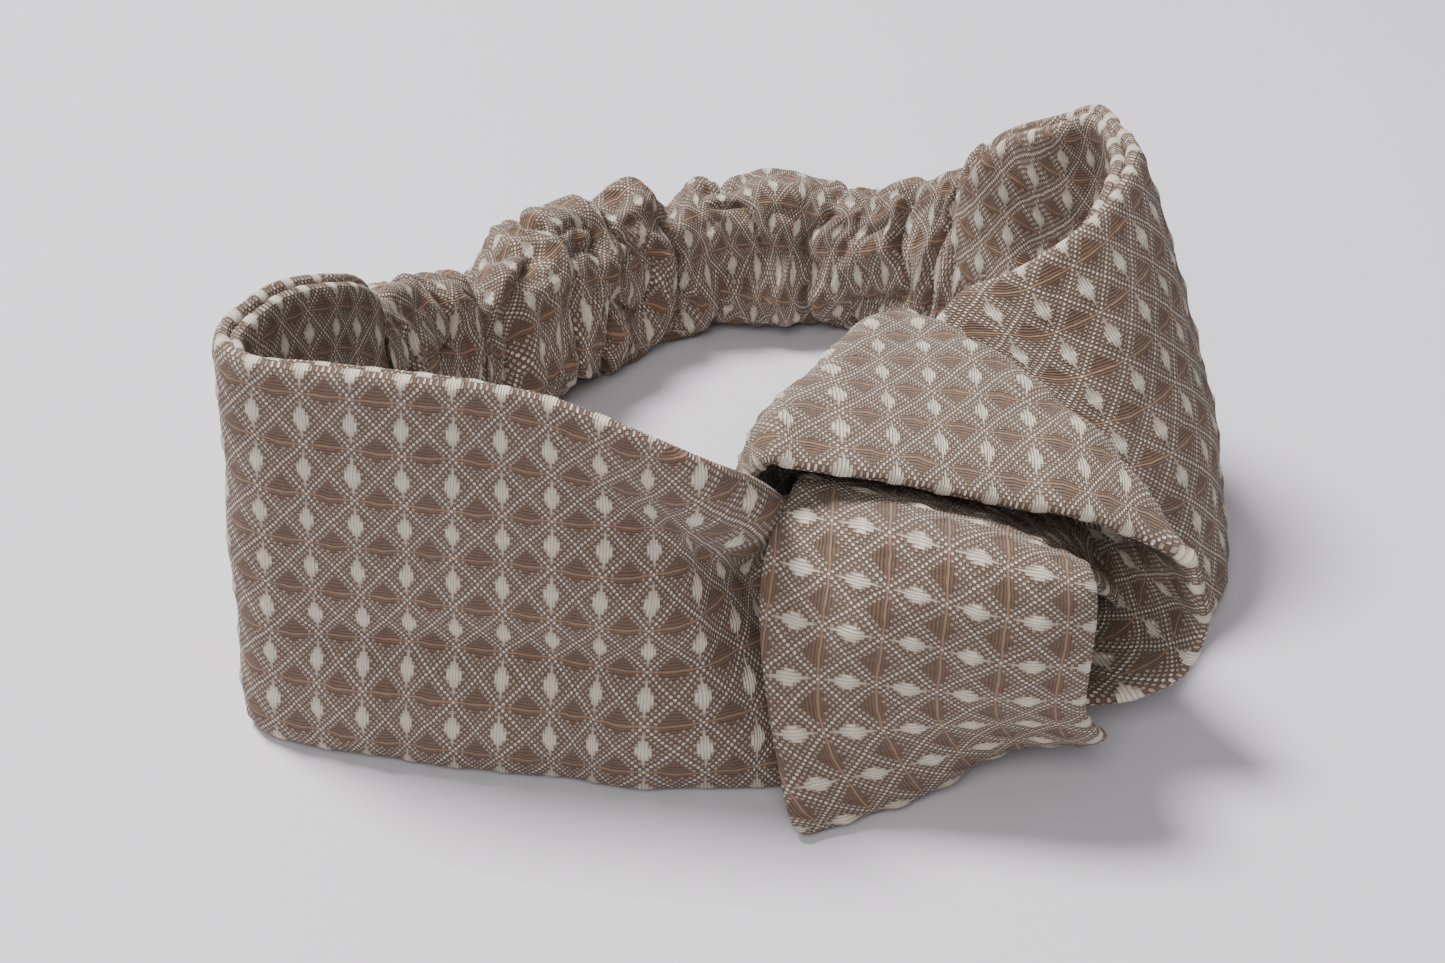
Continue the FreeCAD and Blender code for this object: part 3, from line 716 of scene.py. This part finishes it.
def gathered(name, rings):
    """The tube of cloth with an outer and an inner face."""
    around = len(rings[0][1])
    verts, coords = [], []
    for s, ring in rings:
        middle = sum(ring, Vector()) / around
        verts += ring
        verts += [p + (middle - p).normalized() * WALL for p in ring]
        coords.append([(s * GATHER / REPEAT_ALONG, k / around * REPEATS_ROUND) for k in range(around + 1)])
    faces, uvs = [], []
    ring_size = 2 * around
    for i in range(len(rings) - 1):
        here, there = i * ring_size, (i + 1) * ring_size
        for k in range(around):
            m = (k + 1) % around
            faces.append((here + k, there + k, there + m, here + m))
            uvs.append([coords[i][k], coords[i + 1][k], coords[i + 1][k + 1], coords[i][k + 1]])
            faces.append((here + around + m, there + around + m, there + around + k, here + around + k))
            uvs.append([coords[i][k + 1], coords[i + 1][k + 1], coords[i + 1][k], coords[i][k]])
    for i, flip in ((0, True), (len(rings) - 1, False)):
        here = i * ring_size
        for k in range(around):
            m = (k + 1) % around
            quad = [here + m, here + k, here + around + k, here + around + m]
            corner = [coords[i][k + 1], coords[i][k], coords[i][k], coords[i][k + 1]]
            if flip:
                quad.reverse()
                corner.reverse()
            faces.append(tuple(quad))
            uvs.append(corner)
    return new_object(name, verts, faces, uvs, CLOTH)


def elastic_grid():
    """The elastic's middle surface, standing inside the casing."""
    path = casing_path()[1:-1]
    stations = [[p + Vector((0, 0, 16 + h)) for h in (-11, -4, 4, 11)] for p in path]
    return surface(stations, 1.5, 20)


def thread_stitches(name, starts):
    """Short rounded stitches from (start, end) pairs."""
    bm = bmesh.new()
    for a, b in starts:
        along = b - a
        turn = along.to_track_quat("Z", "Y").to_matrix().to_4x4()
        made = bmesh.ops.create_uvsphere(bm, u_segments=8, v_segments=8, radius=1.0)
        for v in made["verts"]:
            local = Vector((v.co.x * 0.28, v.co.y * 0.28, v.co.z * along.length * 0.5))
            v.co = (turn @ local + (a + b) / 2) * MM
    mesh = bpy.data.meshes.new(name)
    bm.to_mesh(mesh)
    bm.free()
    mesh.materials.append(THREAD)
    mesh.polygons.foreach_set("use_smooth", [True] * len(mesh.polygons))
    ob = bpy.data.objects.new(name, mesh)
    bpy.context.scene.collection.objects.link(ob)
    return ob


def facing_in(p, n):
    """The normal turned towards the middle of the head opening."""
    return n if n.dot(Vector((0, 0, p.z)) - p) > 0 else -n


def line_on(grid, column, first, last, pitch, thickness):
    """Stitches along one line of a grid, on its face towards the head."""
    face = normals(grid)
    out = []
    for i in range(first, last, pitch):
        a, b = grid[i][column], grid[i + 2][column]
        lift = facing_in(a, face[i][column]) * (thickness / 2 + 0.3)
        out.append((a + lift, b + lift))
    return out


def across_ring(ring, spans, pitch, lift=0.15):
    """Upright stitches round one ring of the casing, between the given places on it."""
    middle = sum(ring, Vector()) / len(ring)
    out = []
    for first, last in spans:
        for k in range(first, last, pitch):
            a, b = ring[k % len(ring)], ring[(k + 2) % len(ring)]
            away = (a - middle).normalized() * lift
            out.append((a + away, b + away))
    return out


def upright_on(grid, row, pitch=3):
    """Upright stitches across the elastic, right through it."""
    face = normals(grid)
    out = []
    for side in (-0.8, 0.8):
        for j in range(2, len(grid[row]) - 4, pitch):
            lift = face[row][j] * side
            out.append((grid[row][j] + lift, grid[row][j + 2] + lift))
    return out


# ---------------------------------------------------------------- build

left_smooth, left_grid = left_strip()
right_grid = right_strip()
rings = casing_rings()
ribbon = elastic_grid()
left = thick_ply("left_strip_cloth", left_grid, CLOTH, LEFT_PLY, puff=0.1, way=-1, drawn_on=left_smooth)
right = thick_ply("right_strip_cloth", right_grid, CLOTH, RIGHT_PLY, puff=0.1, start=0.5)
casing = gathered("gathered_casing_cloth", rings)
elastic = thick_ply("elastic_ribbon", ribbon, ELASTIC, ELASTIC_PLY)

faces_out, faces_in = (-14, 16), (46, 74)     # places round a casing ring
low_in = [(rings[i][1][74], rings[i + 4][1][74]) for i in range(24, len(rings) - 24, 9)]
# the long seams show on the inner plies, which are the last rows of the grids
middle_line = GRID_ACROSS // 2
rows_left, rows_right = len(left_grid), len(right_grid)
left_seam = thread_stitches("left_strip_thread",
                            line_on(left_grid, middle_line, rows_left - 112, rows_left - 14, 6, LEFT_PLY))
right_seam = thread_stitches("right_strip_thread",
                             line_on(right_grid, middle_line, rows_right - 100, rows_right - 14, 6, RIGHT_PLY))
casing_thread = thread_stitches("casing_thread", low_in)
left_join = thread_stitches("left_join_thread", across_ring(rings[8][1], (faces_out, faces_in), 3))
right_join = thread_stitches("right_join_thread", across_ring(rings[-9][1], (faces_out, faces_in), 3))
left_tack = thread_stitches("left_tack_thread", upright_on(ribbon, 2))
right_tack = thread_stitches("right_tack_thread", upright_on(ribbon, len(ribbon) - 3))

for piece, node, slot in ((left, "left_strip", "woven_fabric"), (right, "right_strip", "woven_fabric"),
                          (left_seam, "left_strip_seam", "thread"), (right_seam, "right_strip_seam", "thread")):
    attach(piece, "front")
    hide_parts(node)

for piece, node, slot in ((casing, "elastic_casing", "woven_fabric"), (elastic, "elastic_band", "elastic"),
                          (casing_thread, "casing_seam", "thread"),
                          (left_join, "left_join_stitching", "thread"),
                          (right_join, "right_join_stitching", "thread"),
                          (left_tack, "left_elastic_tack", "thread"),
                          (right_tack, "right_elastic_tack", "thread")):
    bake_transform(piece)
    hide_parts(node)


def floor():
    bpy.ops.mesh.primitive_plane_add(size=6, location=(0, 0, 0))
    ob = bpy.context.object
    ob.name = "table_top"
    ob.data.materials.append(table_material())


def light(name, place, aim, size, power, colour):
    data = bpy.data.lights.new(name, "AREA")
    data.shape = "DISK"
    data.size = size
    data.energy = power
    data.color = colour
    ob = bpy.data.objects.new(name, data)
    ob.location = place
    ob.rotation_euler = (Vector(aim) - Vector(place)).to_track_quat("-Z", "Y").to_euler()
    bpy.context.scene.collection.objects.link(ob)


def studio():
    floor()
    light("window", (-0.40, 0.38, 1.18), (0, 0, 0), 0.40, 34.0, (1.0, 0.985, 0.965))
    light("fill", (-0.38, -0.85, 0.90), (0, 0, 0.03), 0.7, 8.0, (1.0, 0.98, 0.96))
    world = bpy.data.worlds.new("room")
    world.use_nodes = True
    world.node_tree.nodes["Background"].inputs[0].default_value = (0.96, 0.95, 1.0, 1)
    world.node_tree.nodes["Background"].inputs[1].default_value = 0.27
    bpy.context.scene.world = world


def camera():
    turn, rise, distance = math.radians(-17), math.radians(34), 0.5014
    aim = Vector((0.0053, 0.0181, 0))
    back = Vector((math.sin(turn) * math.cos(rise), -math.cos(turn) * math.cos(rise), math.sin(rise)))
    data = bpy.data.cameras.new("camera")
    data.lens = 70
    data.sensor_width = 36
    data.clip_start = 0.01
    data.dof.use_dof = False
    ob = bpy.data.objects.new("camera", data)
    ob.location = aim + back * distance
    ob.rotation_euler = (-back).to_track_quat("-Z", "Y").to_euler()
    bpy.context.scene.collection.objects.link(ob)
    bpy.context.scene.camera = ob


studio()
camera()
